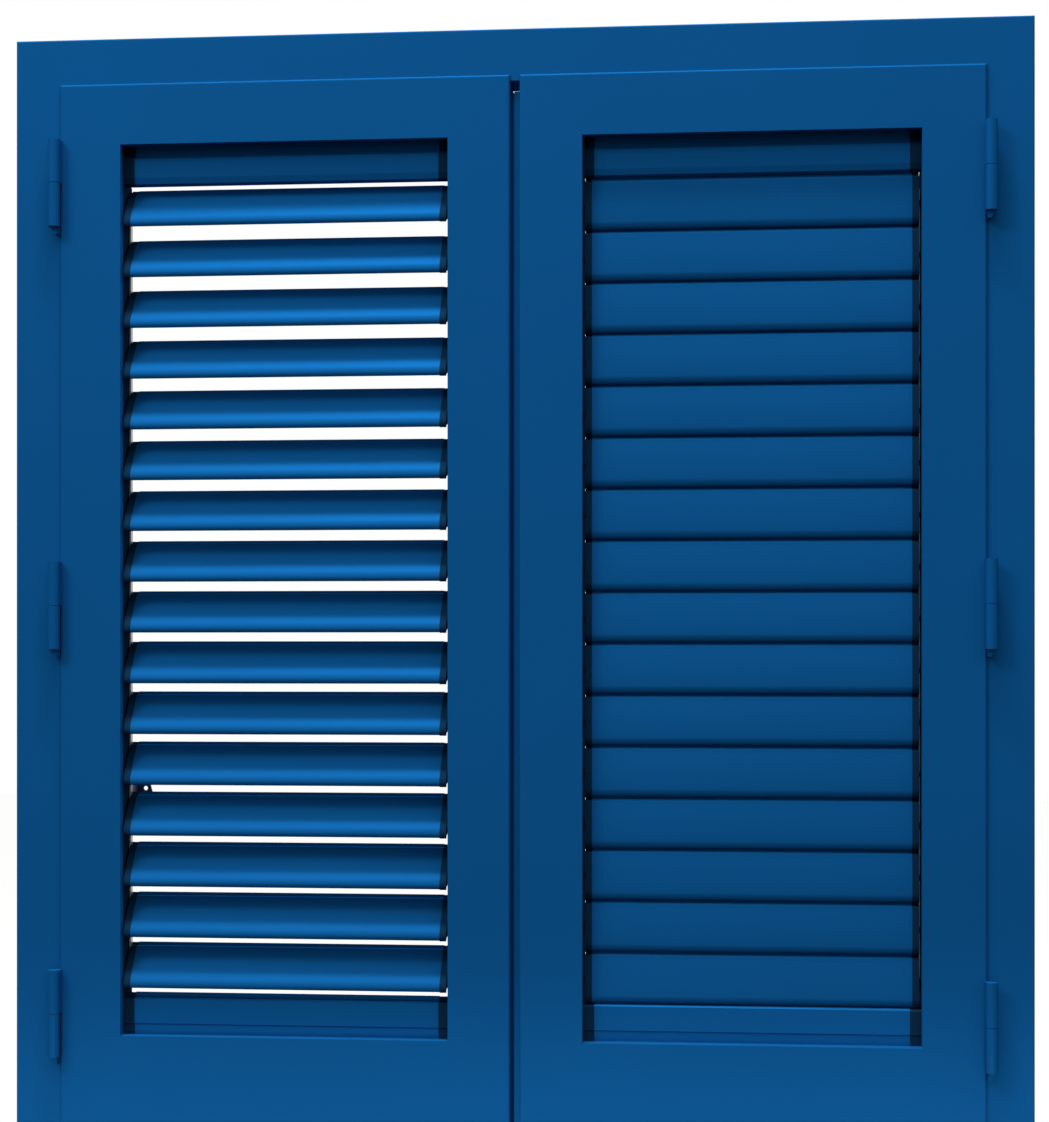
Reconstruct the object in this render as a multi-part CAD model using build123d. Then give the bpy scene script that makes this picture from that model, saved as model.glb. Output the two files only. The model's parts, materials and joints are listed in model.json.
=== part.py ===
from build123d import *
import os
from math import cos, hypot, radians, sin

# A pair of louvred shutter leaves in their outer frame, made of hollow aluminium extrusions.
# Millimetres. X runs across the pair, -Y faces the outside, Z is up.
# The origin is the middle of the underside of the sill, at half the depth of the frame.

# Outer frame
frame_width = 1110.0
frame_face = 50.5          # width of frame left showing round the leaves
frame_depth = 50.0
frame_wall = 2.0
frame_round = 2.0
frame_lap = 6.0            # how far each leaf's lip covers the frame's face
fixing_hole_radius = 3.75
fixing_end_distance = 150.0
driver_hole_radius = 6.0   # plain opening in the inner wall, through which a fixing is screwed in

# Leaves
stile_width = 68.0
top_rail_height = 67.0
bottom_rail_height = 120.0
leaf_depth = 50.0
leaf_wall = 2.0
leaf_round = 2.5
meeting_gap = 10.5
lip_width = 10.0
lip_depth = 3.2
lip_wall = 2.2
lip_seat_gap = 0.5         # running gap between the lip and the frame's face

# Slats
slat_count = 16
slat_pitch = 56.0
slat_depth = 13.0
slat_wall = 1.5
slat_setback = 15.0        # closed slats lie this far behind the leaf's face
slat_lean = 2.2            # the face leans back by this much at its top
slat_overlap = 4.5         # each slat's top lip behind the next slat's nose
slat_lip = 2.4
slat_gap = 1.0             # between a slat's top edge and the nose above it
slat_waist = 32.0          # height of the thickest place of the section
heel_inset = 2.5
heel_clearance = 2.7       # the body's underside above the lip that stands under it
nose_clearance = 1.2
nose_depth = 7.0
nose_height = 10.0
nose_facets = 2
shoulder = 2.0
pivot_back = 15.0          # pivot behind the slat's face
pivot_rise = 26.0          # pivot above the slat's nose
left_opening_angle = 38.0  # the left leaf stands with its slats part open
top_filler_height = 44.5
top_filler_recess = 11.5
filler_clearance = 0.8     # running gap between the first slat and the nose of the profile above it
bottom_filler_height = 41.0
bottom_flange_height = 11.0
bottom_flange_setback = 1.5
bottom_filler_waist = 35.0

# Slat bearings and control rod
strip_thickness = 2.0
strip_front = 12.0         # front edge of the bearing strip behind the leaf's face
strip_clearance = 0.3      # in front of the strip, in the rebate that it lies in
layer_gap = 0.3
rod_thickness = 1.6
rod_width = 8.0
cap_thickness = 7.3
cap_proud = 0.8
cap_drop = 0.6             # cap's top below the blade's
pin_sides = 6
pivot_pin_radius = 3.0
pivot_lug_wall = 3.5
drive_pin_radius = 1.5
drive_boss_wall = 2.5
drive_radius = 12.0
drive_angle = 40.0         # drive pin above the line straight back from the pivot, slats closed
pin_clearance = 0.06
rod_hole_clearance = 0.1
end_block_width = 12.0
lever_reach = 26.0         # lever plate behind the drive pins, clear of the slats' swing
lever_width = 19.0
lever_height = 15.0
lever_thickness = 2.0
lever_hole_radius = 2.6
lever_hole_sides = 8
lever_slat = 12            # the lever stands level with the gap under this slat, from the top
lever_rise = 4.0

# Hinges
barrel_radius = 6.5
knuckle_length = 48.0
knuckle_gap = 0.5
hinge_pin_sides = 8
hinge_pin_radius = 3.5
hinge_pin_reach = 30.0     # pin above and below the split
hinge_out = 4.0            # axis outside the leaf's edge
hinge_front = 9.0          # axis in front of the leaf's face
hinge_drops = (109.8, 574.8, 1023.7)   # splits below the top of the leaf
hinge_wing_seat = 2.3      # how far the leaf's wing reaches over the leaf's face
hinge_foot_gap = 0.5       # between the frame's foot and the leaf's edge
gusset_drop = 8.0          # the foot's rib runs down to this much below its barrel
gusset_width = 3.0
hinge_clearance = 0.08

# Astragal
astragal_wall = 2.5
astragal_leg = 14.0
astragal_setback = 8.0
astragal_top_drop = 17.0
swing_clearance = 0.6

# Lock
bolt_width = 12.0
bolt_thickness = 6.0
bolt_setback = 20.0        # bolts behind the leaf's face, inside the meeting stile
bolt_clearance = 0.3
lock_height = 600.0        # middle of the lock case above the foot of the leaf
case_width = 26.0
case_height = 150.0
case_thickness = 12.0
case_chamfer = 3.0
handle_neck_radius = 8.0
handle_standoff = 24.0
handle_length = 125.0
handle_width = 20.0
handle_thickness = 10.0
handle_gap = 0.4
bolt_case_gap = 30.0       # inner ends of the bolts from the middle of the lock

# Corner cleats and stile plugs
cleat_leg = 60.0
cleat_thickness = 14.0
cleat_clearance = 0.2
plug_thickness = 3.0

# Places worked out from the sizes above
leaf_width = (frame_width - 2 * frame_face - meeting_gap) / 2
opening_width = leaf_width - 2 * stile_width
opening_height = top_filler_height + slat_count * slat_pitch + bottom_filler_height
leaf_height = top_rail_height + opening_height + bottom_rail_height
frame_height = leaf_height + 2 * frame_face
frame_section = frame_face + frame_lap

frame_front = -frame_depth / 2
leaf_face_y = frame_front - lip_seat_gap - lip_depth
slat_face_y = leaf_face_y + slat_setback
pivot_y = slat_face_y + pivot_back

leaf_outer_x = -frame_width / 2 + frame_face
leaf_meeting_x = leaf_outer_x + leaf_width
opening_x = leaf_outer_x + stile_width
leaf_foot_z = frame_face
leaf_top_z = leaf_foot_z + leaf_height
opening_foot_z = leaf_foot_z + bottom_rail_height
opening_top_z = opening_foot_z + opening_height
first_nose_z = opening_top_z - top_filler_height - slat_pitch
hinge_x = leaf_outer_x - hinge_out
hinge_y = leaf_face_y - hinge_front

strip_x = opening_x - strip_thickness
rebate_y = strip_front - strip_clearance
rod_x = opening_x + layer_gap
cap_x = rod_x + rod_thickness + layer_gap
slat_x = cap_x + cap_thickness
slat_length = opening_width - 2 * (slat_x - opening_x)

bolt_x = leaf_meeting_x - stile_width / 2
bolt_y = leaf_face_y + bolt_setback
case_z = leaf_foot_z + lock_height
leaf_back_y = leaf_face_y + leaf_depth
mirror_plane = Plane.YZ


def outline(points, rounds):
    # A closed outline of straight lines, with the numbered corners rounded
    face = make_face(Polyline(*points, close=True))
    for index, radius in rounds.items():
        corner = face.vertices().sort_by_distance(Vector(*points[index], 0))[0]
        face = fillet(corner, radius)
    return face


def along(start, across, direction, section, length):
    # Extrudes a section whose first axis is across and whose second is +Y
    plane = Plane(origin=start, x_dir=across, z_dir=direction)
    return extrude(plane * section, amount=length)


def box_between(low, high):
    size = [b - a for a, b in zip(low, high)]
    return Pos(*low) * Box(*size, align=(Align.MIN, Align.MIN, Align.MIN))


def cylinder_up(x, y, low, high, radius):
    return Pos(x, y, low) * Cylinder(radius, high - low, align=(Align.CENTER, Align.CENTER, Align.MIN))


def cylinder_across(x_low, x_high, y, z, radius):
    place = Plane(origin=(x_low, y, z), z_dir=(1, 0, 0))
    return extrude(place * Circle(radius), amount=x_high - x_low)


def pin_across(x_low, x_high, y, z, radius):
    # A small pin, plain enough to repeat a hundred times
    place = Plane(origin=(x_low, y, z), z_dir=(1, 0, 0))
    return extrude(place * RegularPolygon(radius, pin_sides), amount=x_high - x_low)


def bore_across(x_low, x_high, y, z, radius):
    # The bore for such a pin, whose flats all stand at the radius, so that the pin turns in it
    place = Plane(origin=(x_low, y, z), z_dir=(1, 0, 0))
    section = RegularPolygon(radius, pin_sides, major_radius=False)
    return extrude(place * section, amount=x_high - x_low)


def hinge_pin(low, high, clearance):
    # The hinge pin, or with a clearance its bore
    section = RegularPolygon(hinge_pin_radius + clearance, hinge_pin_sides, major_radius=clearance == 0)
    return Pos(hinge_x, hinge_y, low) * extrude(section, amount=high - low)


def mitred(bar, corner, normal):
    # Keeps the part of the bar on the side of the mitre that the normal points to
    return split(bar, bisect_by=Plane(origin=corner, z_dir=normal), keep=Keep.TOP)


def mirrored(shapes):
    return [mirror(shape, about=mirror_plane) for shape in shapes]


def frame_section_face():
    outer = outline(
        [(0, 0), (frame_section, 0), (frame_section, frame_depth), (0, frame_depth)],
        {0: frame_round},
    )
    hollow = Pos(frame_section / 2, frame_depth / 2) * Rectangle(
        frame_section - 2 * frame_wall, frame_depth - 2 * frame_wall
    )
    return outer - hollow


def leaf_section_face(width, has_lip, rebate_depth):
    # First axis from the outer edge of the visible face to the louvre opening, second straight back.
    # A rebate behind the inner edge of the face takes the bearing strips.
    body_edge = lip_width if has_lip else 0
    back_x, front, wall = width - rebate_depth, rebate_y, leaf_wall
    step = [(width, front), (back_x, front)] if rebate_depth else []
    inner_step = [(width - wall, front - wall), (back_x - wall, front - wall)] if rebate_depth else []
    outer = outline(
        [(body_edge, 0), (width, 0), *step, (back_x, leaf_depth), (body_edge, leaf_depth)],
        {} if has_lip else {0: leaf_round},
    )
    hollow = outline(
        [(body_edge + wall, wall), (width - wall, wall), *inner_step, (back_x - wall, leaf_depth - wall),
         (body_edge + wall, leaf_depth - wall)],
        {},
    )
    section = outer - hollow
    if has_lip:
        lip = outline(
            [
                (0, 0),
                (lip_width + leaf_wall, 0),
                (lip_width + leaf_wall, lip_wall),
                (lip_wall, lip_wall),
                (lip_wall, lip_depth),
                (0, lip_depth),
            ],
            {0: leaf_round},
        )
        section = section + (lip - hollow)
    return section


def corner_cleat(corner, sideways, upright, inset, depth_from):
    # An L of two legs inside the mitred hollows, its outer corner inset from the corner of the bars
    legs = []
    for leg in (Vector(sideways, 0, 0), Vector(0, 0, upright)):
        other = Vector(sideways, 0, 0) + Vector(0, 0, upright) - leg
        start = Vector(*corner) + (leg + other) * (inset + cleat_clearance)
        end = start + leg * cleat_leg + other * cleat_thickness
        low = [min(a, b) for a, b in zip(start, end)]
        high = [max(a, b) for a, b in zip(start, end)]
        low[1] = depth_from
        high[1] = depth_from + cleat_thickness
        legs.append(box_between(low, high))
    return legs[0] + legs[1]


def frame_bars():
    section = frame_section_face()
    half = frame_width / 2
    corners = {
        "top": [(-half, frame_front, frame_height), (half, frame_front, frame_height)],
        "foot": [(-half, frame_front, 0), (half, frame_front, 0)],
    }
    head = along(corners["top"][0], (0, 0, -1), (1, 0, 0), section, frame_width)
    head = mitred(mitred(head, corners["top"][0], (1, 0, 1)), corners["top"][1], (-1, 0, 1))
    sill = along(corners["foot"][1], (0, 0, 1), (-1, 0, 0), section, frame_width)
    sill = mitred(mitred(sill, corners["foot"][0], (1, 0, -1)), corners["foot"][1], (-1, 0, -1))
    jamb = along(corners["foot"][0], (1, 0, 0), (0, 0, 1), section, frame_height)
    jamb = mitred(mitred(jamb, corners["foot"][0], (-1, 0, 1)), corners["top"][0], (-1, 0, -1))
    cleat_y = frame_depth / 2 - frame_wall - cleat_clearance - cleat_thickness
    for side, corner in zip((1, -1), corners["top"]):
        head += corner_cleat(corner, side, -1, frame_wall, cleat_y)
    for side, corner in zip((1, -1), corners["foot"]):
        sill += corner_cleat(corner, side, 1, frame_wall, cleat_y)
    for z in (fixing_end_distance, frame_height - fixing_end_distance):
        jamb -= cylinder_across(-half - 1, -half + frame_wall + 1, 0, z, fixing_hole_radius)
        jamb -= bore_across(-half + frame_section - frame_wall - 1, -half + frame_section + 1, 0, z,
                            driver_hole_radius)
    head -= bolt_bar(frame_height - frame_section - 1, frame_height - frame_section + frame_wall + 1,
                     bolt_clearance)
    sill -= bolt_bar(frame_section - frame_wall - 1, frame_section + 1, bolt_clearance)
    write("frame_head", [head])
    write("frame_sill", [sill])
    write("frame_jamb_left", [jamb])
    write("frame_jamb_right", mirrored([jamb]))


def hinge_splits():
    return [leaf_top_z - drop for drop in hinge_drops]


def frame_pintles():
    # Lower knuckles, each on a foot that stands on the frame's face, and their pressed-in pins
    pieces = []
    foot_side = leaf_outer_x - hinge_foot_gap
    for split_z in hinge_splits():
        low, high = split_z - knuckle_length, split_z - knuckle_gap / 2
        barrel = cylinder_up(hinge_x, hinge_y, low, high, barrel_radius)
        foot = box_between((hinge_x - barrel_radius + 1, hinge_y, low), (foot_side, frame_front, high))
        rib_side = Polyline(
            (foot_side, low), (foot_side, low - gusset_drop), (foot_side - gusset_width, low - gusset_drop),
            (hinge_x - barrel_radius + 1, low), close=True)
        place = Plane(origin=(0, frame_front, 0), x_dir=(1, 0, 0), z_dir=(0, -1, 0))
        rib = extrude(place * make_face(rib_side), amount=frame_front - hinge_y)
        pin_foot = split_z - hinge_pin_reach
        pieces.append(barrel + foot + rib - hinge_pin(pin_foot, high + 1, 0))
        pieces.append(hinge_pin(pin_foot, split_z + hinge_pin_reach, 0))
    write("frame_hinge_pintles", pieces + mirrored(pieces))


def leaf_knuckles():
    # Upper knuckles, each with a wing behind it that meets the edge of the leaf's face
    pieces = []
    for split_z in hinge_splits():
        low, high = split_z + knuckle_gap / 2, split_z + knuckle_length
        wing = box_between((hinge_x, hinge_y, low), (leaf_outer_x + hinge_wing_seat, leaf_face_y, high))
        bore = hinge_pin(low - 1, split_z + hinge_pin_reach + 2, hinge_clearance)
        pieces.append(cylinder_up(hinge_x, hinge_y, low, high, barrel_radius) + wing - bore)
    return pieces


def notch_boxes(top):
    # Cuts a bar end back to the leaf's body, which passes inside the frame behind the lips
    z = leaf_top_z - lip_width if top else leaf_foot_z
    return box_between(
        (leaf_outer_x - 1, leaf_face_y + lip_depth, z - (0 if top else 1)),
        (leaf_meeting_x + 1, leaf_back_y + 1, z + lip_width + (1 if top else 0)),
    )


def stile_plug(low_x, high_x):
    # Closes the foot of a stile
    z = leaf_foot_z + lip_width
    return box_between(
        (low_x + leaf_wall, leaf_face_y + leaf_wall, z),
        (high_x - leaf_wall, leaf_back_y - leaf_wall, z + plug_thickness),
    )


def leaf_bars():
    # The four bars of a leaf with its hinges on the left
    face_y = leaf_face_y
    top_outer = (leaf_outer_x, face_y, leaf_top_z)
    top_meeting = (leaf_meeting_x, face_y, leaf_top_z)
    lipped = leaf_section_face(stile_width, True, strip_thickness)
    plain = leaf_section_face(stile_width, False, strip_thickness)
    hinge_stile = along((leaf_outer_x, face_y, leaf_foot_z), (1, 0, 0), (0, 0, 1), lipped, leaf_height)
    mitre = Vector(stile_width, 0, top_rail_height)
    hinge_stile = mitred(hinge_stile, top_outer, (-mitre.Z, 0, -mitre.X))
    hinge_stile = hinge_stile - notch_boxes(False) + stile_plug(leaf_outer_x + lip_width, strip_x)
    # The plain section is turned about Z, so its round outer edge stands at the meeting side
    turned = Plane.XY.offset(leaf_foot_z) * (Pos(leaf_meeting_x, face_y) * mirror(plain, about=Plane.YZ))
    meeting_stile = mitred(extrude(turned, amount=leaf_height), top_meeting, (mitre.Z, 0, -mitre.X))
    meeting_stile = meeting_stile - notch_boxes(True) - notch_boxes(False)
    meeting_stile += stile_plug(leaf_meeting_x - stile_width + strip_thickness, leaf_meeting_x)
    rail_section = leaf_section_face(top_rail_height, True, strip_thickness)
    top_rail = along(top_outer, (0, 0, -1), (1, 0, 0), rail_section, leaf_width)
    top_rail = mitred(top_rail, top_outer, (mitre.Z, 0, mitre.X))
    top_rail = mitred(top_rail, top_meeting, (-mitre.Z, 0, mitre.X))
    cleat_y = leaf_back_y - leaf_wall - cleat_clearance - cleat_thickness
    inset = lip_width + leaf_wall
    top_rail += corner_cleat(top_outer, 1, -1, inset, cleat_y)
    cleat_corner = (leaf_meeting_x + lip_width, face_y, leaf_top_z)
    top_rail += corner_cleat(cleat_corner, -1, -1, inset, cleat_y)
    foot_section = leaf_section_face(bottom_rail_height, True, 0)
    foot_start = (opening_x + opening_width + strip_thickness, face_y, leaf_foot_z)
    bottom_rail = along(foot_start, (0, 0, 1), (-1, 0, 0), foot_section, opening_width + 2 * strip_thickness)
    # Behind the stiles' faces the rail's ends reach into their rebates
    for x in (strip_x, opening_x + opening_width):
        bottom_rail -= box_between((x, face_y - 1, leaf_foot_z - 1),
                                   (x + strip_thickness, face_y + rebate_y, opening_foot_z + 1))
    return {
        "stile_hinge": hinge_stile,
        "stile_meeting": meeting_stile,
        "rail_top": top_rail,
        "rail_bottom": bottom_rail,
    }


def nose_points(proud, tip_z):
    # The rolled nose from the foot of the face to its tip, in flat facets
    width, height = nose_depth - 1 + proud, nose_height - tip_z
    turns = [radians(90 * step / nose_facets) for step in range(nose_facets + 1)]
    return [(-proud + width * (1 - cos(turn)), nose_height - height * sin(turn)) for turn in turns]


def lip_points(height, drop):
    # The lip that stands behind the next nose, on a profile of this height
    front = nose_depth + cap_proud
    lip_top = height + slat_overlap - drop
    return [(front, height - slat_gap - drop), (front, lip_top), (front + slat_lip, lip_top)]


def heel_points(depth):
    # The underside of a profile, clear of the lip that stands under it
    return [(depth, slat_overlap + heel_clearance), (nose_depth, slat_overlap + nose_clearance)]


def blade_face():
    # Section of a closed slat: first axis back from its face, second up from its nose.
    # The face is gently bowed, the nose rolls under it, and a lip stands up behind the next nose.
    top_z = slat_pitch - slat_gap
    nose = nose_points(0, 0)
    face = TangentArc(nose[0], (slat_lean, top_z - shoulder), tangent=(0, 1))
    rest = Polyline(
        face @ 1, (slat_lean + shoulder, top_z), *lip_points(slat_pitch, 0), (slat_depth, slat_waist),
        *heel_points(slat_depth - heel_inset), *reversed(nose))
    return make_face(face + rest)


def cap_face(has_drive):
    # The cap follows the blade's outline a little proud of its face, and a lug stands back from it round
    # the pivot, which at the hinge side reaches on to the drive pin
    top_z = slat_pitch - slat_gap - cap_drop
    lug = pivot_pin_radius + pivot_lug_wall
    boss = drive_pin_radius + drive_boss_wall
    pivot = Vector(pivot_back, pivot_rise)
    drive = pivot + Vector(*drive_point(0))

    def around(centre, radius, degrees):
        return centre + Vector(radius, 0).rotate(Axis.Z, degrees)

    if has_drive:
        side = drive_angle + 90
        points = [around(pivot, lug, side), around(drive, boss, side), around(drive, boss, side - 60),
                  around(drive, boss, side - 120)]
        round_from = side - 180
        lug_end = ThreePointArc(*(around(pivot, lug, round_from - turn) for turn in (0, 4, 8)))
    else:
        points = [around(pivot, lug, 130), around(pivot, lug, 70)]
        lug_end = Line(around(pivot, lug, 10), around(pivot, lug, -50))
    rest = Polyline(
        lug_end @ 1, around(pivot, lug, -110), *heel_points(slat_depth - heel_inset),
        *reversed(nose_points(cap_proud, -cap_proud)), (slat_lean - cap_proud, top_z - shoulder),
        (slat_lean + shoulder - cap_proud, top_z), *lip_points(slat_pitch, cap_drop), *points, lug_end @ 0)
    return make_face(rest + lug_end)


def to_pivot(sketch):
    # From the slat's own corner to a section about its pivot, in the plane across the slat
    return Plane.YZ * (Pos(-pivot_back, -pivot_rise) * sketch)


def slat_hollow():
    wall = slat_wall
    top_z = slat_pitch - slat_gap - shoulder - wall
    inner_back = nose_depth + cap_proud + slat_lip - wall
    return make_face(Polyline(
        (wall, nose_height), (slat_lean + wall, top_z), (inner_back, top_z),
        (slat_depth - wall, slat_waist), (slat_depth - heel_inset - wall, nose_height - wall / 2), close=True))


def drive_point(opening_angle):
    # The drive pin from the pivot, straight back and up
    turn = radians(drive_angle - opening_angle)
    return drive_radius * cos(turn), drive_radius * sin(turn)


def slat_about_pivot():
    # The slat, closed, with its two end caps, about its pivot; the drive pin is at the hinge side
    blade = Pos(slat_x, 0, 0) * extrude(to_pivot(blade_face() - slat_hollow()), amount=slat_length)
    back, up = drive_point(0)
    hinge_cap = Pos(cap_x, 0, 0) * extrude(to_pivot(cap_face(True)), amount=cap_thickness)
    hinge_cap += pin_across(strip_x + layer_gap, cap_x, 0, 0, pivot_pin_radius)
    hinge_cap += pin_across(rod_x - layer_gap / 2, cap_x, back, up, drive_pin_radius)
    meeting_x = slat_x + slat_length
    meeting_cap = Pos(meeting_x, 0, 0) * extrude(to_pivot(cap_face(False)), amount=cap_thickness)
    pin_end = opening_x + opening_width + strip_thickness - layer_gap
    meeting_cap += pin_across(meeting_x + cap_thickness, pin_end, 0, 0, pivot_pin_radius)
    return [blade, hinge_cap, meeting_cap]


def slat_pivots():
    # Heights of the slats' pivots, from the top one down
    return [first_nose_z + pivot_rise - number * slat_pitch for number in range(slat_count)]


def control_rod(opening_angle):
    back, up = drive_point(opening_angle)
    pins = [z + up for z in slat_pivots()]
    y = pivot_y + back
    rod = box_between(
        (rod_x, y - rod_width / 2, pins[-1] - rod_width),
        (rod_x + rod_thickness, y + rod_width / 2, pins[0] + rod_width),
    )
    for z in pins:
        rod -= bore_across(rod_x - 1, rod_x + rod_thickness + 1, y, z,
                           drive_pin_radius + rod_hole_clearance)
    return rod


def control_lever(opening_angle):
    # A plate turned across behind the slats, with a finger hole, on a tab that joins the rod's edge
    back, up = drive_point(opening_angle)
    y = pivot_y + back
    rest_up = drive_point(left_opening_angle)[1]
    gap_z = first_nose_z - (lever_slat - 1) * slat_pitch + lever_rise + up - rest_up
    low_z, high_z = gap_z - lever_height / 2, gap_z + lever_height / 2
    plate_y = y + lever_reach
    tab = box_between((rod_x, y + rod_width / 2, low_z), (rod_x + rod_thickness, plate_y, high_z))
    slant = lever_width * 0.2
    plate = make_face(Polyline(
        (rod_x, low_z), (rod_x + lever_width, low_z), (rod_x + lever_width - slant, high_z),
        (rod_x, high_z), close=True))
    plane = Plane(origin=(0, plate_y + lever_thickness, 0), x_dir=(1, 0, 0), z_dir=(0, -1, 0))
    hole = Pos(rod_x + lever_width * 0.56, gap_z) * RegularPolygon(lever_hole_radius, lever_hole_sides)
    return tab + extrude(plane * (plate - hole), amount=lever_thickness)


def bearing_strips():
    # One in the rebate along each stile, flush with the stile's edge and bored for the pivot pins
    strips = []
    y = leaf_face_y + strip_front
    for x in (strip_x, opening_x + opening_width):
        strip = box_between(
            (x, y, opening_foot_z + bottom_filler_height + layer_gap),
            (x + strip_thickness, leaf_back_y, opening_top_z - top_filler_height - layer_gap),
        )
        for z in slat_pivots():
            strip -= bore_across(x - 1, x + strip_thickness + 1, pivot_y, z,
                                 pivot_pin_radius + pin_clearance)
        strips.append(strip)
    return strips


def top_filler_edges(proud):
    # The fixed profile above the slats: a nose like a slat's, a face, and a flange set back above,
    # which reaches into the top rail's rebate
    face_top = top_filler_height - top_filler_recess
    flange = nose_depth + cap_proud
    flange_top = top_filler_height + strip_thickness
    return Polyline(
        *reversed(nose_points(proud, filler_clearance)), (-proud, face_top - shoulder),
        (shoulder - proud, face_top), (flange, face_top), (flange, flange_top), (slat_depth, flange_top),
        *heel_points(slat_depth), close=True)


def bottom_filler_edges(proud):
    # The fixed profile below the slats: a flange, a face in front of it, and a lip behind the last nose
    drop = cap_drop if proud else 0
    top = bottom_filler_height - slat_gap - drop
    ledge = bottom_flange_setback - proud
    return Polyline(
        (ledge, 0), (ledge, bottom_flange_height), (-proud, bottom_flange_height + 1),
        (-proud, top - shoulder), (shoulder - proud, top), *lip_points(bottom_filler_height, drop),
        (slat_depth, bottom_filler_waist), (slat_depth, 0), close=True)


def fillers_and_blocks():
    fillers, blocks = [], []
    length = opening_width - 2 * end_block_width
    for edges, foot_z in (
        (top_filler_edges, opening_top_z - top_filler_height),
        (bottom_filler_edges, opening_foot_z),
    ):
        place = Plane(origin=(0, slat_face_y, foot_z), x_dir=(0, 1, 0), z_dir=(1, 0, 0))
        solid = extrude(place * make_face(edges(0)), amount=length)
        block = extrude(place * make_face(edges(cap_proud)), amount=end_block_width + strip_thickness)
        fillers.append(Pos(opening_x + end_block_width, 0, 0) * solid)
        blocks.append(Pos(strip_x, 0, 0) * block)
        blocks.append(Pos(opening_x + opening_width - end_block_width, 0, 0) * block)
    return fillers, blocks


def astragal():
    # An angle on the meeting edge of the right leaf, which closes the gap as far as the left leaf's
    # swing allows: the left leaf's back corner comes furthest across as it opens
    reach = hypot(leaf_width + hinge_out, leaf_depth + hinge_front)
    tip_x = hinge_x + reach + swing_clearance
    root_x = meeting_gap / 2
    y = leaf_face_y + astragal_setback
    low_z = leaf_foot_z + lip_width
    high_z = leaf_top_z - astragal_top_drop
    across = box_between((tip_x, y, low_z), (root_x, y + astragal_wall, high_z))
    leg = box_between((root_x - astragal_wall, y, low_z), (root_x, y + astragal_leg, high_z))
    return across + leg


def bolt_bar(low_z, high_z, clearance):
    # A flat bolt between two heights, or with a clearance the slot for it
    half_width, half_thickness = bolt_width / 2 + clearance, bolt_thickness / 2 + clearance
    return box_between((bolt_x - half_width, bolt_y - half_thickness, low_z),
                       (bolt_x + half_width, bolt_y + half_thickness, high_z))


def lock_pieces():
    back = leaf_back_y
    half = case_height / 2
    case = box_between(
        (bolt_x - case_width / 2, back, case_z - half),
        (bolt_x + case_width / 2, back + case_thickness, case_z + half),
    )
    case = chamfer(case.edges().filter_by(Axis.Y), case_chamfer)
    neck_y = back + case_thickness + handle_gap
    grip_y = neck_y + handle_standoff
    neck = extrude(Plane(origin=(bolt_x, neck_y, case_z), z_dir=(0, 1, 0)) * Circle(handle_neck_radius),
                   amount=handle_standoff)
    grip = Pos(bolt_x, grip_y, case_z + handle_neck_radius + 2) * Box(
        handle_width, handle_thickness, handle_length, align=(Align.CENTER, Align.MIN, Align.MAX))
    grip = chamfer(grip.edges().filter_by(Axis.Z), case_chamfer)
    write("lock_case", [case])
    write("lock_handle", [neck + grip])
    write("lock_bolt_upper", [bolt_bar(case_z + bolt_case_gap, leaf_top_z - lip_width, 0)])
    write("lock_bolt_lower", [bolt_bar(leaf_foot_z + lip_width, case_z - bolt_case_gap, 0)])


def write(name, shapes):
    solids = [solid for shape in shapes for solid in shape.solids()]
    export_step(Compound(children=solids) if len(solids) > 1 else solids[0], f"parts/{name}.step")


def write_leaf(side, opening_angle, place):
    for name, bar in leaf_bars().items():
        if side == "left" and name in ("rail_top", "stile_meeting"):
            bar -= bolt_bar(leaf_foot_z - 1, leaf_top_z + 1, bolt_clearance)
        write(f"{side}_{name}", place([bar]))
    write(f"{side}_hinge_knuckles", place(leaf_knuckles()))
    fillers, blocks = fillers_and_blocks()
    write(f"{side}_fillers", place(fillers))
    write(f"{side}_bearings", place(bearing_strips() + blocks))
    write(f"{side}_control_rod", place([control_rod(opening_angle)]))
    write(f"{side}_control_lever", place([control_lever(opening_angle)]))
    slat = slat_about_pivot()
    for number, z in enumerate(slat_pivots(), 1):
        at = Pos(0, pivot_y, z) * Rot(-opening_angle, 0, 0)
        write(f"{side}_slat_{number:02d}", place([at * piece for piece in slat]))


os.makedirs("parts", exist_ok=True)
frame_bars()
frame_pintles()
write_leaf("left", left_opening_angle, list)
write_leaf("right", 0, mirrored)
write("right_astragal", [astragal()])
lock_pieces()
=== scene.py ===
import json
import math
import bpy
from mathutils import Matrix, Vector


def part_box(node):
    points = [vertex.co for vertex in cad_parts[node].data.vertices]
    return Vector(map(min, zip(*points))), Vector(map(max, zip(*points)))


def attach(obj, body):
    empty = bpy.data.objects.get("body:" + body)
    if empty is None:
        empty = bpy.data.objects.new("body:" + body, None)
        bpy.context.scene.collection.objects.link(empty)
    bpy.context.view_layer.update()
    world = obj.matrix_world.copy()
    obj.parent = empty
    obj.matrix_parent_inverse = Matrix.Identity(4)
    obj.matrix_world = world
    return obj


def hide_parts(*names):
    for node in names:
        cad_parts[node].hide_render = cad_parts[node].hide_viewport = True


# Louvred shutters: two hinged aluminium leaves with tilting slats, in their fixed outer frame.
# Metres, +Z up, -Y towards the outside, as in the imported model.

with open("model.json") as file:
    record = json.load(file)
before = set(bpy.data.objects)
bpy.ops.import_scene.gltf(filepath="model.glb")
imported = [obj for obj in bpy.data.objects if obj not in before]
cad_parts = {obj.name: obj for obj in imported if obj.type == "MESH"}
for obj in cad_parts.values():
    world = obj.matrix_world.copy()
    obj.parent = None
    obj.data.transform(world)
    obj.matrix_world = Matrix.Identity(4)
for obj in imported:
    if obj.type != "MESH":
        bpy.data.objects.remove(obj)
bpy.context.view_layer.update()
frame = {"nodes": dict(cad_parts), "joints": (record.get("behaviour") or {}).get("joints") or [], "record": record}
mm = 0.001

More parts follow.
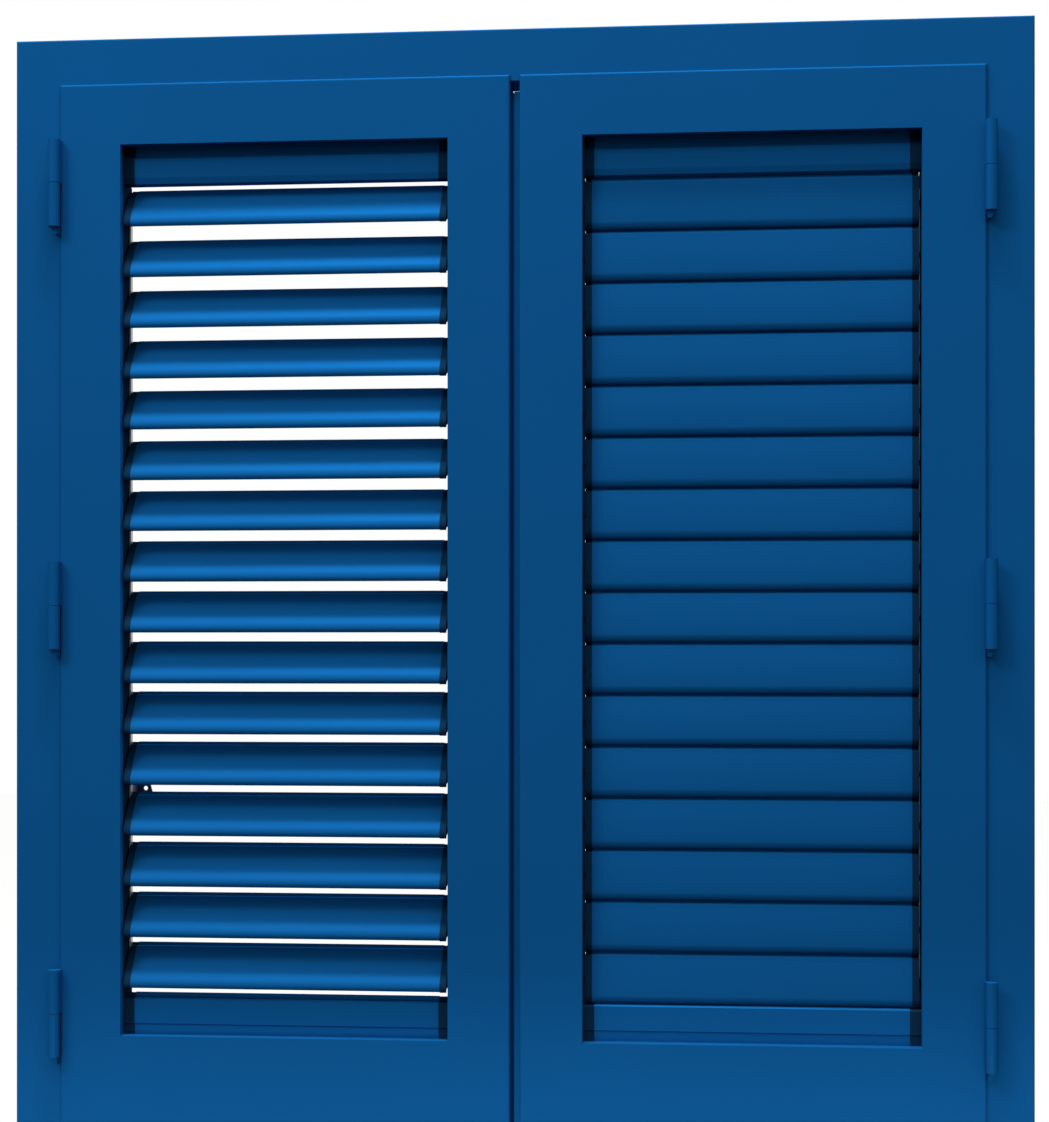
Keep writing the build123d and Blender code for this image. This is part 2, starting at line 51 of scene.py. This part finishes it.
cameraSet = {
    "pictureHeight": 1122,                # pixels of the picture that the lengths below refer to
    "focalPixels": 2364.7,
    "place": (0.2600, -2.5765, 0.5936),
    "turnDegrees": 5.587,                 # to the left of straight ahead
    "risePixels": 90.6,                   # from the picture's middle down to the optical axis
}
studio = {
    "horizon": 0.1, "zenith": 1.6,        # levels of the soft light all round, from level to overhead
    "lamps": {                            # watts, width, depth, spread in degrees, place, aim
        "overhead": (158.0, 1.6, 0.4, 180, (-0.2, -0.66, 4.4), (0.0, 0.0, 0.8)),
        "rear": (34.0, 1.6, 0.8, 180, (0.2, 1.9, 2.5), (0.0, 0.0, 0.7)),
        "side": (50.0, 0.9, 0.9, 180, (-2.2, -2.2, 3.4), (0.0, 0.0, 0.8)),
        "foot": (0.35, 1.6, 0.08, 50, (0.0, -0.5, 0.06), (0.0, 0.0, 0.06)),
    },
    "floorTone": "3A3A38", "floorRoughness": 0.9, "floorWhite": 0.93, "floorSize": 14.0,
}


def placeCamera():
    data = bpy.data.cameras.new("camera")
    data.lens = cameraSet["focalPixels"] * data.sensor_width / cameraSet["pictureHeight"]
    data.shift_y = cameraSet["risePixels"] / cameraSet["pictureHeight"]
    camera = bpy.data.objects.new("camera", data)
    bpy.context.scene.collection.objects.link(camera)
    camera.location = cameraSet["place"]
    camera.rotation_euler = (math.radians(90), 0, math.radians(cameraSet["turnDegrees"]))
    bpy.context.scene.camera = camera


def linearColour(hexText):
    channels = [int(hexText[i:i + 2], 16) / 255 for i in (0, 2, 4)]
    return [c / 12.92 if c <= 0.04045 else ((c + 0.055) / 1.055) ** 2.4 for c in channels] + [1.0]


def addNode(tree, kind, inputs=None, **settings):
    node = tree.nodes.new(kind)
    for name, value in settings.items():
        setattr(node, name, value)
    for socket, value in (inputs or {}).items():
        if isinstance(value, bpy.types.NodeSocket):
            tree.links.new(value, node.inputs[socket])
        else:
            node.inputs[socket].default_value = value
    return node


def areaLight(name, watts, width, depth, spread, place, aim):
    data = bpy.data.lights.new(name, "AREA")
    data.shape = "RECTANGLE"
    data.size = width
    data.size_y = depth
    data.energy = watts
    data.spread = math.radians(spread)
    lamp = bpy.data.objects.new(name, data)
    bpy.context.scene.collection.objects.link(lamp)
    lamp.location = place
    lamp.rotation_euler = (Vector(aim) - lamp.location).to_track_quat("-Z", "Y").to_euler()
    lamp.visible_camera = False


def shownRays(tree):
    # One for the rays that show the background: camera, mirrored and transmitted ones
    path = addNode(tree, "ShaderNodeLightPath")
    seen = addNode(tree, "ShaderNodeMath",
                   {0: path.outputs["Is Camera Ray"], 1: path.outputs["Is Glossy Ray"]},
                   operation="MAXIMUM")
    return addNode(tree, "ShaderNodeMath",
                   {0: seen.outputs[0], 1: path.outputs["Is Transmission Ray"]},
                   operation="MAXIMUM").outputs[0]


def lightStudio():
    # White to the camera and in reflections; soft light from above on everything else
    world = bpy.data.worlds.new("studio")
    bpy.context.scene.world = world
    world.use_nodes = True
    tree = world.node_tree
    tree.nodes.clear()
    towards = addNode(tree, "ShaderNodeTexCoord").outputs["Generated"]
    height = addNode(tree, "ShaderNodeSeparateXYZ", {0: towards})
    level = addNode(tree, "ShaderNodeMapRange",
                    {0: height.outputs[2], 3: studio["horizon"], 4: studio["zenith"]})
    ambient = addNode(tree, "ShaderNodeBackground",
                      {"Color": (1, 1, 1, 1), "Strength": level.outputs[0]})
    white = addNode(tree, "ShaderNodeBackground", {"Color": (1, 1, 1, 1), "Strength": 1.0})
    mixed = addNode(tree, "ShaderNodeMixShader",
                    {0: shownRays(tree), 1: ambient.outputs[0], 2: white.outputs[0]})
    addNode(tree, "ShaderNodeOutputWorld", {"Surface": mixed.outputs[0]})
    for name, lamp in studio["lamps"].items():
        areaLight(name, *lamp)
    bpy.context.scene.view_settings.view_transform = "Standard"


def newMaterial(name, tone, roughness, specular=0.5, metallic=0.0, tint="FFFFFF"):
    material = bpy.data.materials.new(name)
    material.use_nodes = True
    tree = material.node_tree
    shader = tree.nodes["Principled BSDF"]
    shader.inputs["Base Color"].default_value = linearColour(tone)
    shader.inputs["Roughness"].default_value = roughness
    shader.inputs["Metallic"].default_value = metallic
    shader.inputs["Specular IOR Level"].default_value = specular
    shader.inputs["Specular Tint"].default_value = linearColour(tint)
    return material, shader, tree


def objectPlace(tree):
    return addNode(tree, "ShaderNodeTexCoord").outputs["Object"]


def noise(tree, where, size, detail):
    # Its features are about this many millimetres across
    return addNode(tree, "ShaderNodeTexNoise",
                   {"Vector": where, "Scale": 1 / (size * mm), "Detail": detail}).outputs[0]


def roughen(tree, shader, pattern, strength, height):
    # Raises the pattern by this many millimetres
    bump = addNode(tree, "ShaderNodeBump",
                   {"Strength": strength, "Distance": height * mm, "Height": pattern})
    tree.links.new(bump.outputs[0], shader.inputs["Normal"])


def paleFloor():
    # Matt studio floor, brought up to white where it is seen, so that the object's shadow stays on it
    material, shader, tree = newMaterial("mattFloor", studio["floorTone"], studio["floorRoughness"],
                                         specular=0.0)
    glow = addNode(tree, "ShaderNodeMath", {0: shownRays(tree), 1: studio["floorWhite"]},
                   operation="MULTIPLY")
    shader.inputs["Emission Color"].default_value = (1, 1, 1, 1)
    tree.links.new(glow.outputs[0], shader.inputs["Emission Strength"])
    return material


def layFloor():
    half = studio["floorSize"] / 2
    mesh = bpy.data.meshes.new("floor")
    mesh.from_pydata([(-half, -half, 0), (half, -half, 0), (half, half, 0), (-half, half, 0)], [],
                     [(0, 1, 2, 3)])
    floor = bpy.data.objects.new("floor", mesh)
    bpy.context.scene.collection.objects.link(floor)
    mesh.materials.append(paleFloor())


# Sizes and heights in the finishes below are in millimetres
paint = {
    "tone": "0E5590", "shade": "0D5089", "roughness": 0.42,
    "sheen": 0.08, "tint": "2C9CFF",      # metallic share, so the gloss has the paint's hue; edge tint
    "peelSize": 1.6, "peelHeight": 0.012, "peelStrength": 0.35, "driftSize": 240.0,
}
hingePaint = dict(paint, tone="0D528C", shade="0C4E85", roughness=0.36, sheen=0.12, peelHeight=0.018)


def powderCoat(name, paint):
    # Polyester powder coat: an even colour with a fine orange peel and a low sheen of its own hue
    material, shader, tree = newMaterial(name, paint["tone"], paint["roughness"], specular=0.0,
                                         metallic=paint["sheen"], tint=paint["tint"])
    where = objectPlace(tree)
    drift = noise(tree, where, paint["driftSize"], detail=2.0)
    tones = addNode(tree, "ShaderNodeMix",
                    {0: drift, 6: linearColour(paint["shade"]), 7: linearColour(paint["tone"])},
                    data_type="RGBA")
    tree.links.new(tones.outputs[2], shader.inputs["Base Color"])
    peel = noise(tree, where, paint["peelSize"], detail=1.0)
    roughen(tree, shader, peel, paint["peelStrength"], paint["peelHeight"])
    return material


plastic = {
    "tone": "0F2C46", "roughness": 0.7, "specular": 0.0,
    "grainSize": 0.5, "grainHeight": 0.01, "grainStrength": 0.4,
}
lockPlastic = dict(plastic, tone="14222E", roughness=0.45, specular=0.35)


def mouldedNylon(name, plastic):
    # Moulded black nylon with the fine spark-eroded grain of its mould: matt, or satin to the hand
    material, shader, tree = newMaterial(name, plastic["tone"], plastic["roughness"],
                                         plastic["specular"])
    grain = noise(tree, objectPlace(tree), plastic["grainSize"], detail=2.0)
    roughen(tree, shader, grain, plastic["grainStrength"], plastic["grainHeight"])
    return material


steel = {"tone": "9A9DA0", "dull": 0.46, "bright": 0.34, "spangleSize": 3.0}


def platedSteel():
    # Zinc-plated steel strip: cool grey metal, its gloss a little uneven from the bath
    material, shader, tree = newMaterial("zincPlatedSteel", steel["tone"], steel["dull"],
                                         metallic=1.0)
    spangle = noise(tree, objectPlace(tree), steel["spangleSize"], detail=2.0)
    gloss = addNode(tree, "ShaderNodeMapRange", {0: spangle, 3: steel["bright"], 4: steel["dull"]})
    tree.links.new(gloss.outputs[0], shader.inputs["Roughness"])
    return material


plate = {
    "tone": "3E4664", "roughness": 0.45, "specular": 0.2, "metallic": 0.3,
    "brushSize": 0.3, "brushHeight": 0.006, "brushStrength": 0.3,
    "brushStretch": 30.0,                 # length of a brush mark for its width
}


def anodisedPlate():
    # Anodised aluminium plate: grey-blue film over the long marks of its brushing
    material, shader, tree = newMaterial("anodisedAluminium", plate["tone"], plate["roughness"],
                                         plate["specular"], plate["metallic"])
    along = addNode(tree, "ShaderNodeMapping",
                    {"Vector": objectPlace(tree), "Scale": (1.0, 1.0, 1 / plate["brushStretch"])})
    marks = noise(tree, along.outputs[0], plate["brushSize"], detail=1.0)
    roughen(tree, shader, marks, plate["brushStrength"], plate["brushHeight"])
    return material


# Slats, in millimetres from a closed slat's face (first) and up from the tip of its nose (second)
slat = {
    "pitch": 56.0, "depth": 13.0, "lean": 2.2, "overlap": 4.5, "lip": 2.4,
    "noseDepth": 7.0, "noseHeight": 9.0, "shoulder": 2.0, "topGap": 2.4,
    "tipInset": 1.0,                      # the nose's roll ends this far in front of its inner edge
    "pivotBack": 15.0, "pivotRise": 26.0, "pivotRadius": 3.0, "pivotLug": 6.5,
    "driveReach": 12.0, "driveAngle": 40.0, "driveRadius": 1.5, "driveBoss": 4.0,
    "lugFrom": -110.0, "lugTo": 130.0,    # degrees round the pivot between which the lug stands out
    "waist": 32.0, "heelInset": 2.5, "heelClearance": 2.7, "noseClearance": 1.2,
    "capThickness": 7.3, "capProud": 0.8, "capDrop": 0.6,
    "capGap": 2.2, "rodGap": 0.3,         # from the stile's edge to the cap and to the control rod
    "pinReach": 1.7, "pinSunk": 1.0,      # pivot pins beyond the stile's edge and inside the cap
    "noseSteps": 12, "faceSteps": 6, "roundSteps": 10, "pinSides": 28,
    "smoothBelow": 24.0,                  # degrees between faces that are shaded as one
}


def pointAround(centre, radius, degrees):
    turn = math.radians(degrees)
    return centre[0] + radius * math.cos(turn), centre[1] + radius * math.sin(turn)


def roundPoints(centre, radius, start, end, steps):
    return [pointAround(centre, radius, start + (end - start) * step / steps)
            for step in range(steps + 1)]


def nosePoints(proud):
    # A quarter ellipse from the foot of the face round to the tip
    width = slat["noseDepth"] - slat["tipInset"] + proud
    height = slat["noseHeight"] + proud
    turns = [math.pi / 2 * step / slat["noseSteps"] for step in range(slat["noseSteps"] + 1)]
    return [(width * (1 - math.cos(turn)) - proud, slat["noseHeight"] - height * math.sin(turn))
            for turn in turns]


def facePoints(proud, top):
    # The gently bowed face from its top down, upright at its foot and leaning back at its top
    rise = top - slat["shoulder"] - slat["noseHeight"]
    radius = (slat["lean"] ** 2 + rise ** 2) / (2 * slat["lean"])
    heights = [rise * step / slat["faceSteps"] for step in range(slat["faceSteps"], 0, -1)]
    return [(radius - math.sqrt(radius ** 2 - z ** 2) - proud, slat["noseHeight"] + z)
            for z in heights]


def heelPoints():
    return [(slat["noseDepth"], slat["overlap"] + slat["noseClearance"]),
            (slat["depth"] - slat["heelInset"], slat["overlap"] + slat["heelClearance"])]


def topPoints(proud, drop):
    # The lip behind the next slat's nose, and the shoulder in front of it
    top = slat["pitch"] - slat["topGap"] - drop
    lipFront = slat["noseDepth"] + slat["capProud"]
    lipTop = slat["pitch"] + slat["overlap"] - drop
    return [(lipFront + slat["lip"], lipTop), (lipFront, lipTop), (lipFront, top),
            (slat["lean"] + slat["shoulder"] - proud, top)] + facePoints(proud, top)


def bladeOutline():
    return nosePoints(0) + heelPoints() + [(slat["depth"], slat["waist"])] + topPoints(0, 0)


def capOutline(drives):
    # Proud of the blade, with a lug round the pivot
    # At the hinge side the lug reaches on to the drive pin
    pivot, steps = (slat["pivotBack"], slat["pivotRise"]), slat["roundSteps"]
    if drives:
        turn = slat["driveAngle"]
        below, above = turn - 90, turn + 90   # square to the line from the pivot to the drive pin
        drive = pointAround(pivot, slat["driveReach"], turn)
        lug = roundPoints(pivot, slat["pivotLug"], slat["lugFrom"], below, steps)
        lug += roundPoints(drive, slat["driveBoss"], below, above, steps)
        lug.append(pointAround(pivot, slat["pivotLug"], above))
    else:
        lug = roundPoints(pivot, slat["pivotLug"], slat["lugFrom"], slat["lugTo"], 2 * steps)
    top = topPoints(slat["capProud"], slat["capDrop"])
    return nosePoints(slat["capProud"]) + heelPoints() + lug + top


def outlineObject(name, points):
    # A closed outline about the pivot, in metres
    # The sweep along +X takes its X as -Y and its Y as -Z
    curve = bpy.data.curves.new(name, "CURVE")
    curve.dimensions = "3D"
    spline = curve.splines.new("POLY")
    spline.points.add(len(points) - 1)
    for point, (back, up) in zip(spline.points, points):
        point.co = (-(back - slat["pivotBack"]) * mm, -(up - slat["pivotRise"]) * mm, 0, 1)
    spline.use_cyclic_u = True
    return bpy.data.objects.new(name, curve)


def slatTree():
    tree = bpy.data.node_groups.new("slatTree", "GeometryNodeTree")
    sockets = {
        "Object": ("Blade Outline", "Drive Cap Outline", "Plain Cap Outline"),
        "Float": ("Blade Start", "Blade Length", "Cap Thickness", "Drive Cap Start",
                  "Plain Cap Start", "Pivot Radius", "Drive Radius", "Drive Pin Start",
                  "Drive Pin Length", "Drive Pivot Start", "Plain Pivot Start", "Pivot Length",
                  "Drive Back", "Drive Up", "Opening Angle", "Smooth Angle"),
        "Int": ("Pin Sides",), "Vector": ("Pivot Place",), "Material": ("Paint", "Plastic"),
    }
    for kind, names in sockets.items():
        for name in names:
            tree.interface.new_socket(name, in_out="INPUT", socket_type="NodeSocket" + kind)
    tree.interface.new_socket("Slat", in_out="OUTPUT", socket_type="NodeSocketGeometry")
    given = addNode(tree, "NodeGroupInput").outputs

    def prism(outline, start, length):
        end = addNode(tree, "ShaderNodeMath", {0: start, 1: length}, operation="ADD")
        low = addNode(tree, "ShaderNodeCombineXYZ", {0: start})
        high = addNode(tree, "ShaderNodeCombineXYZ", {0: end.outputs[0]})
        rail = addNode(tree, "GeometryNodeCurvePrimitiveLine",
                       {"Start": low.outputs[0], "End": high.outputs[0]})
        shape = addNode(tree, "GeometryNodeObjectInfo", {"Object": outline})
        return addNode(tree, "GeometryNodeCurveToMesh", {
            "Curve": rail.outputs[0], "Profile Curve": shape.outputs["Geometry"],
            "Fill Caps": True}).outputs[0]

    def pin(radius, start, length, back, up):
        rod = addNode(tree, "GeometryNodeMeshCylinder", {
            "Vertices": given["Pin Sides"], "Radius": radius, "Depth": length})
        middle = addNode(tree, "ShaderNodeMath", {0: length, 1: 0.5, 2: start},
                         operation="MULTIPLY_ADD")
        place = addNode(tree, "ShaderNodeCombineXYZ", {0: middle.outputs[0], 1: back, 2: up})
        return addNode(tree, "GeometryNodeTransform", {
            "Geometry": rod.outputs["Mesh"], "Translation": place.outputs[0],
            "Rotation": (0, math.pi / 2, 0)}).outputs[0]

    def joined(parts):
        join = addNode(tree, "GeometryNodeJoinGeometry")
        for part in parts:
            tree.links.new(part, join.inputs[0])
        return join.outputs[0]

    blade = prism(given["Blade Outline"], given["Blade Start"], given["Blade Length"])
    caps = joined([
        prism(given["Drive Cap Outline"], given["Drive Cap Start"], given["Cap Thickness"]),
        prism(given["Plain Cap Outline"], given["Plain Cap Start"], given["Cap Thickness"]),
        pin(given["Pivot Radius"], given["Drive Pivot Start"], given["Pivot Length"], 0.0, 0.0),
        pin(given["Pivot Radius"], given["Plain Pivot Start"], given["Pivot Length"], 0.0, 0.0),
        pin(given["Drive Radius"], given["Drive Pin Start"], given["Drive Pin Length"],
            given["Drive Back"], given["Drive Up"]),
    ])
    marked = addNode(tree, "GeometryNodeStoreNamedAttribute",
                     {"Geometry": caps, "Name": "moulded", "Value": True},
                     data_type="BOOLEAN", domain="FACE")
    whole = joined([blade, marked.outputs[0]])
    edge = addNode(tree, "GeometryNodeInputMeshEdgeAngle")
    shallow = addNode(tree, "ShaderNodeMath",
                      {0: edge.outputs["Unsigned Angle"], 1: given["Smooth Angle"]},
                      operation="LESS_THAN")
    smooth = addNode(tree, "GeometryNodeSetShadeSmooth",
                     {"Geometry": whole, "Shade Smooth": shallow.outputs[0]}, domain="EDGE")
    spot = addNode(tree, "GeometryNodePoints", {"Count": 1, "Position": given["Pivot Place"]})
    opened = addNode(tree, "ShaderNodeMath", {0: given["Opening Angle"], 1: -1.0},
                     operation="MULTIPLY")
    turn = addNode(tree, "ShaderNodeCombineXYZ", {0: opened.outputs[0]})
    placed = addNode(tree, "GeometryNodeInstanceOnPoints", {
        "Points": spot.outputs[0], "Instance": smooth.outputs[0], "Rotation": turn.outputs[0]})
    real = addNode(tree, "GeometryNodeRealizeInstances", {"Geometry": placed.outputs[0]})
    painted = addNode(tree, "GeometryNodeSetMaterial",
                      {"Geometry": real.outputs[0], "Material": given["Paint"]})
    isMoulded = addNode(tree, "GeometryNodeInputNamedAttribute", {"Name": "moulded"},
                        data_type="BOOLEAN")
    finished = addNode(tree, "GeometryNodeSetMaterial", {
        "Geometry": painted.outputs[0], "Selection": isMoulded.outputs[0],
        "Material": given["Plastic"]})
    addNode(tree, "NodeGroupOutput", {0: finished.outputs[0]})
    return tree


def growMesh(name, tree, values):
    # Runs the tree on an empty mesh and keeps only the plain mesh that it gives
    piece = bpy.data.objects.new(name, bpy.data.meshes.new(name))
    bpy.context.scene.collection.objects.link(piece)
    modifier = piece.modifiers.new("shape", "NODES")
    modifier.node_group = tree
    for item in tree.interface.items_tree:
        if item.in_out == "INPUT" and item.name in values:
            modifier[item.identifier] = values[item.name]
    piece.update_tag()
    seen = piece.evaluated_get(bpy.context.evaluated_depsgraph_get())
    mesh = bpy.data.meshes.new_from_object(seen)
    piece.modifiers.clear()
    piece.data = mesh
    return piece


def lowerX(stile, inward, distance, thickness):
    # Of something this far from the stile's edge, where inward is 1 or -1 along X
    near = stile + inward * distance * mm
    return min(near, near + inward * thickness * mm)


def hangSlats(side, tree, outlines, materials):
    # One mesh for each slat, turned as the leaf holds it at rest
    reach = slat["driveReach"] * mm
    turn = math.radians(slat["driveAngle"])
    capIn = slat["capGap"] + slat["capThickness"]
    pinLength = slat["pinReach"] + slat["capGap"] + slat["pinSunk"]
    driveFrom = slat["rodGap"] / 2
    driveLength = slat["capGap"] + slat["pinSunk"] - driveFrom
    for joint in frame["joints"]:
        if not joint["name"].startswith(side + "_slat_tilt_"):
            continue
        body = joint["child"]
        low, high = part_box(body)
        inward = 1 if side == "left" else -1      # along X, from the hinge side to the meeting side
        hinge = (low.x if side == "left" else high.x) + inward * slat["pinReach"] * mm
        meeting = (high.x if side == "left" else low.x) - inward * slat["pinReach"] * mm
        atHinge, atMeeting = (hinge, inward), (meeting, -inward)
        values = {
            "Blade Outline": outlines[0], "Drive Cap Outline": outlines[1],
            "Plain Cap Outline": outlines[2],
            "Blade Start": min(hinge, meeting) + capIn * mm,
            "Blade Length": abs(meeting - hinge) - 2 * capIn * mm,
            "Cap Thickness": slat["capThickness"] * mm,
            "Drive Cap Start": lowerX(*atHinge, slat["capGap"], slat["capThickness"]),
            "Plain Cap Start": lowerX(*atMeeting, slat["capGap"], slat["capThickness"]),
            "Pivot Radius": slat["pivotRadius"] * mm, "Drive Radius": slat["driveRadius"] * mm,
            "Drive Pivot Start": lowerX(*atHinge, -slat["pinReach"], pinLength),
            "Plain Pivot Start": lowerX(*atMeeting, -slat["pinReach"], pinLength),
            "Pivot Length": pinLength * mm,
            "Drive Pin Start": lowerX(*atHinge, driveFrom, driveLength),
            "Drive Pin Length": driveLength * mm,
            "Drive Back": reach * math.cos(turn), "Drive Up": reach * math.sin(turn),
            "Opening Angle": math.radians(-joint["range_deg"][0]),
            "Smooth Angle": math.radians(slat["smoothBelow"]), "Pin Sides": slat["pinSides"],
            "Pivot Place": (0, joint["pos_m"][1], joint["pos_m"][2]),
            "Paint": materials[0], "Plastic": materials[1],
        }
        piece = growMesh(body + "_piece", tree, values)
        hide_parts(body)
        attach(piece, body)


# Heads of the bearing strips, in millimetres from the model's origin, for the leaf at the left
stripHead = {
    "edges": (-436.5, -73.25),            # of the opening; the strips lie in rebates beyond them
    "thickness": 1.9, "front": -14.6, "back": 21.3, "foot": 1106.8, "top": 1113.2,
}


def headBearingStrips(side, material):
    # Closes the rebates behind the nose of the end blocks, where light would pass
    turn = 1 if side == "left" else -1
    outline = [(stripHead["front"], stripHead["foot"]), (stripHead["back"], stripHead["foot"]),
               (stripHead["back"], stripHead["top"]), (stripHead["front"], stripHead["top"])]
    box = ((0, 1, 2, 3), (7, 6, 5, 4), (0, 4, 5, 1), (1, 5, 6, 2), (2, 6, 7, 3), (3, 7, 4, 0))
    corners, faces = [], []
    for edge, outward in zip(stripHead["edges"], (-1, 1)):
        first = len(corners)
        for x in (edge, edge + outward * stripHead["thickness"]):
            corners += [(turn * x * mm, y * mm, z * mm) for y, z in outline]
        for face in box:
            ordered = face[::-1] if outward * turn > 0 else face
            faces.append([first + corner for corner in ordered])
    mesh = bpy.data.meshes.new(side + "_strip_heads")
    mesh.from_pydata(corners, [], faces)
    mesh.materials.append(material)
    piece = bpy.data.objects.new(side + "_strip_heads", mesh)
    bpy.context.scene.collection.objects.link(piece)
    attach(piece, side + "_leaf")


print("camera and studio")
placeCamera()
lightStudio()
layFloor()

print("finishes on the packed nodes")
blue, black = powderCoat("polyesterPowderCoat", paint), mouldedNylon("mattNylon", plastic)
satinNylon = mouldedNylon("satinNylon", lockPlastic)
finishes = {"blue_aluminium": blue, "hinge_paint": powderCoat("dieCastPowderCoat", hingePaint),
            "black_plastic": black, "steel": platedSteel(), "lever_plate": anodisedPlate(),
            "lock_case": satinNylon, "lock_handle": satinNylon}
slots = {row["node"]: row["material_slot"] for row in frame["record"]["subparts"]}
for name, node in frame["nodes"].items():
    node.data.materials.clear()
    node.data.materials.append(finishes.get(name, finishes[slots[name]]))

print("slats")
tree = slatTree()
outlines = [outlineObject("bladeOutline", bladeOutline()),
            outlineObject("driveCapOutline", capOutline(True)),
            outlineObject("plainCapOutline", capOutline(False))]
for side in ("left", "right"):
    hangSlats(side, tree, outlines, (blue, black))
    headBearingStrips(side, black)
for outline in outlines:
    bpy.data.objects.remove(outline)
